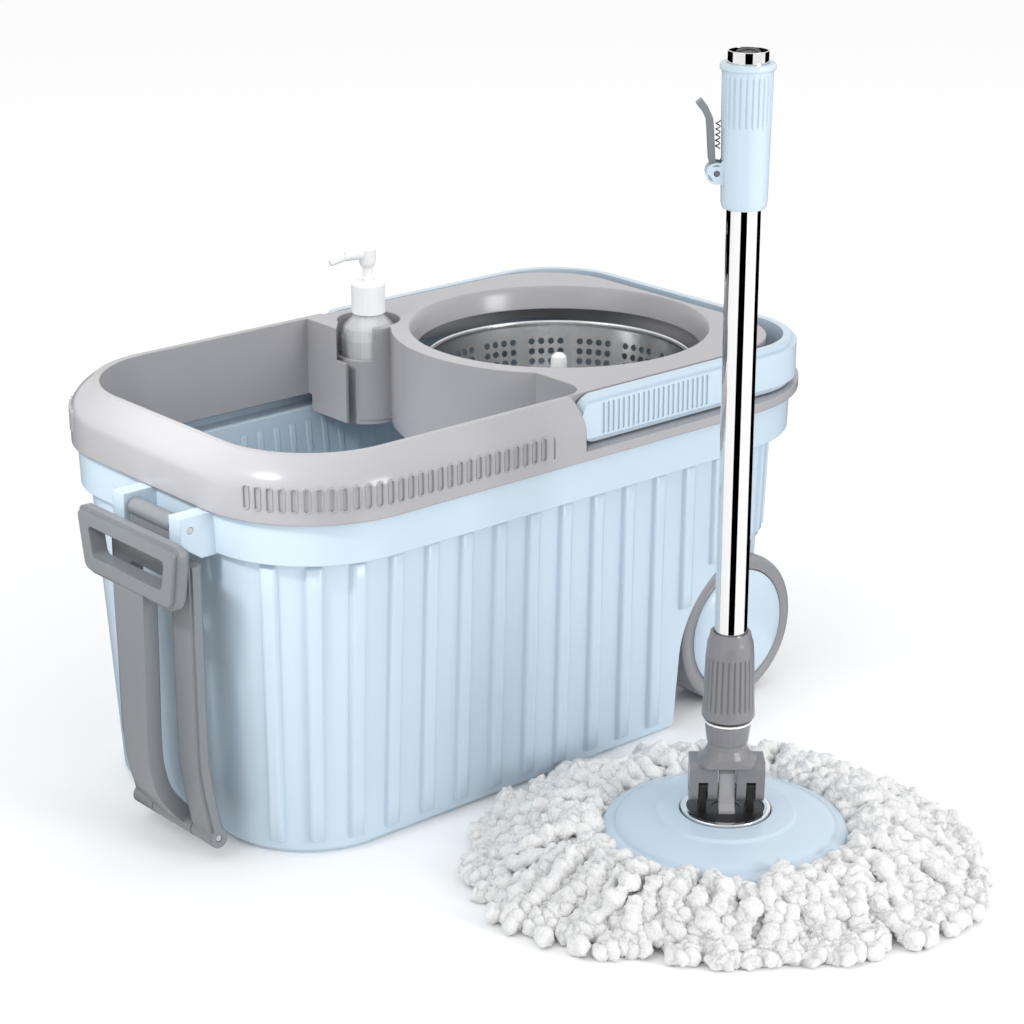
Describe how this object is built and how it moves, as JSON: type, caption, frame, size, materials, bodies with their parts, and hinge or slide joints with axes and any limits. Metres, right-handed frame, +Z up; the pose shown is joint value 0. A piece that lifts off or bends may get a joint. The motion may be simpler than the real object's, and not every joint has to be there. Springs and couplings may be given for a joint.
{
  "type": "spin mop",
  "caption": "Spin mop set: wheeled oblong bucket with a spinning wringer basket, soap pump, carry handle and folding pull handle, and a tilting round-headed mop.",
  "frame": {"origin": "on the bucket's flat underside, in the middle of its width, below the wringer side's edge of the tank", "axes": "+Z up, +X along the bucket towards the wheels and the wringer basket, -Y towards the long side where the mop stands"},
  "size_m": [0.538, 0.604, 0.519],
  "materials": {
    "blue_plastic": "smooth satin moulding",
    "grey_plastic": "smooth satin moulding",
    "yoke_grey": "smooth satin moulding",
    "dark_grey_plastic": "fine textured moulding",
    "wheel_grey": "satin tread ring",
    "black_plastic": "moulded",
    "black_rubber": "seal",
    "white_plastic": "smooth",
    "frosted_plastic": "translucent",
    "clear_plastic": "clear bottle plastic",
    "steel": "plain",
    "black_steel": "blackened spring wire",
    "stainless": "perforated sheet",
    "chrome": "polished tube",
    "white_yarn": "looped microfibre strands"
  },
  "bodies": {
    "bucket": {"bucket_shell": "blue_plastic", "rim_frame": "grey_plastic", "basket_spindle": "steel", "basket_bush": "white_plastic", "bail_pin_front": "steel", "bail_pin_rear": "steel", "wheel_axle": "steel", "axle_clip_front": "steel", "axle_clip_rear": "steel", "pull_frame_pin": "steel"},
    "basket": {"spin_basket": "stainless", "basket_post": "white_plastic", "basket_lock_ring": "white_plastic"},
    "bail": {"carry_handle": "blue_plastic"},
    "front_wheel": {"wheel_front": "wheel_grey", "wheel_cap_front": "blue_plastic"},
    "rear_wheel": {"wheel_rear": "wheel_grey", "wheel_cap_rear": "blue_plastic"},
    "pull_frame_body": {"pull_frame": "dark_grey_plastic", "pull_grip_pin": "steel"},
    "pull_grip_body": {"pull_grip": "dark_grey_plastic"},
    "soap": {"soap_bottle": "clear_plastic", "pump_collar": "white_plastic", "pump_chamber": "frosted_plastic", "dip_tube": "frosted_plastic", "pump_spring": "steel"},
    "pump_button": {"pump_head": "white_plastic"},
    "mop_head": {"mop_strands": "white_yarn", "strand_ring": "grey_plastic", "mop_disc": "blue_plastic", "pivot_base": "black_plastic", "pivot_trim": "chrome", "lock_tongue": "grey_plastic", "tilt_pin": "steel", "base_screw_1": "steel", "base_screw_2": "steel", "base_screw_3": "steel"},
    "yoke_body": {"yoke": "yoke_grey"},
    "lower_pole": {"swivel_washer": "white_plastic", "swivel_seal": "black_rubber", "ferrule_nut": "yoke_grey", "lower_tube": "chrome", "tube_plug": "white_plastic"},
    "upper_pole": {"upper_tube": "chrome", "lock_sleeve": "blue_plastic", "lever_pin": "steel", "lever_spring": "black_steel"},
    "lever": {"lock_lever": "dark_grey_plastic"}
  },
  "joints": [
    {"name": "basket_spin", "type": "hinge", "parent": "bucket", "child": "basket", "pos_m": [0.0462, 0, 0.15], "axis": [0, 0, 1], "continuous": true},
    {"name": "bail_swing", "type": "hinge", "parent": "bucket", "child": "bail", "pos_m": [-0.046, 0, 0.2575], "axis": [0, -1, 0], "range_deg": [0, 90]},
    {"name": "front_wheel_spin", "type": "hinge", "parent": "bucket", "child": "front_wheel", "pos_m": [0.123, 0, 0.055], "axis": [0, 1, 0], "continuous": true},
    {"name": "rear_wheel_spin", "type": "hinge", "parent": "bucket", "child": "rear_wheel", "pos_m": [0.123, 0, 0.055], "axis": [0, 1, 0], "continuous": true},
    {"name": "pull_frame_swing", "type": "hinge", "parent": "bucket", "child": "pull_frame_body", "pos_m": [-0.3155, -0.03, 0.2245], "axis": [0, 1, 0], "range_deg": [0, 100]},
    {"name": "grip_unfold", "type": "hinge", "parent": "pull_frame_body", "child": "pull_grip_body", "pos_m": [-0.3085, -0.03, 0.0165], "axis": [0, -1, 0], "range_deg": [0, 170]},
    {"name": "bottle_lift", "type": "slide", "parent": "bucket", "child": "soap", "axis": [0, 0, 1], "range_m": [0, 0.1]},
    {"name": "pump_press", "type": "slide", "parent": "soap", "child": "pump_button", "axis": [0, 0, -1], "range_m": [0, 0.009], "stiffness_N_per_m": 150, "springref_m": -0.008, "deforming": ["pump_spring"]},
    {"name": "mop_lift", "type": "slide", "parent": "bucket", "child": "mop_head", "axis": [0, -0.3714, 0.9285], "range_m": [0, 0.35]},
    {"name": "head_tilt", "type": "hinge", "parent": "mop_head", "child": "yoke_body", "pos_m": [-0.0742, -0.2924, 0.0585], "axis": [0.7555, -0.6551, 0], "range_deg": [0, 80]},
    {"name": "pole_spin", "type": "hinge", "parent": "yoke_body", "child": "lower_pole", "pos_m": [-0.0742, -0.2924, 0.12], "axis": [0, 0, 1], "continuous": true},
    {"name": "pole_telescope", "type": "slide", "parent": "lower_pole", "child": "upper_pole", "axis": [0, 0, -1], "range_m": [0, 0.18]},
    {"name": "lever_press", "type": "hinge", "parent": "upper_pole", "child": "lever", "pos_m": [-0.08674, -0.28153, 0.449], "axis": [0.6551, 0.7555, 0], "range_deg": [0, 5], "stiffness_Nm_per_rad": 0.6, "springref_deg": -3.44, "deforming": ["lever_spring"]}
  ]
}
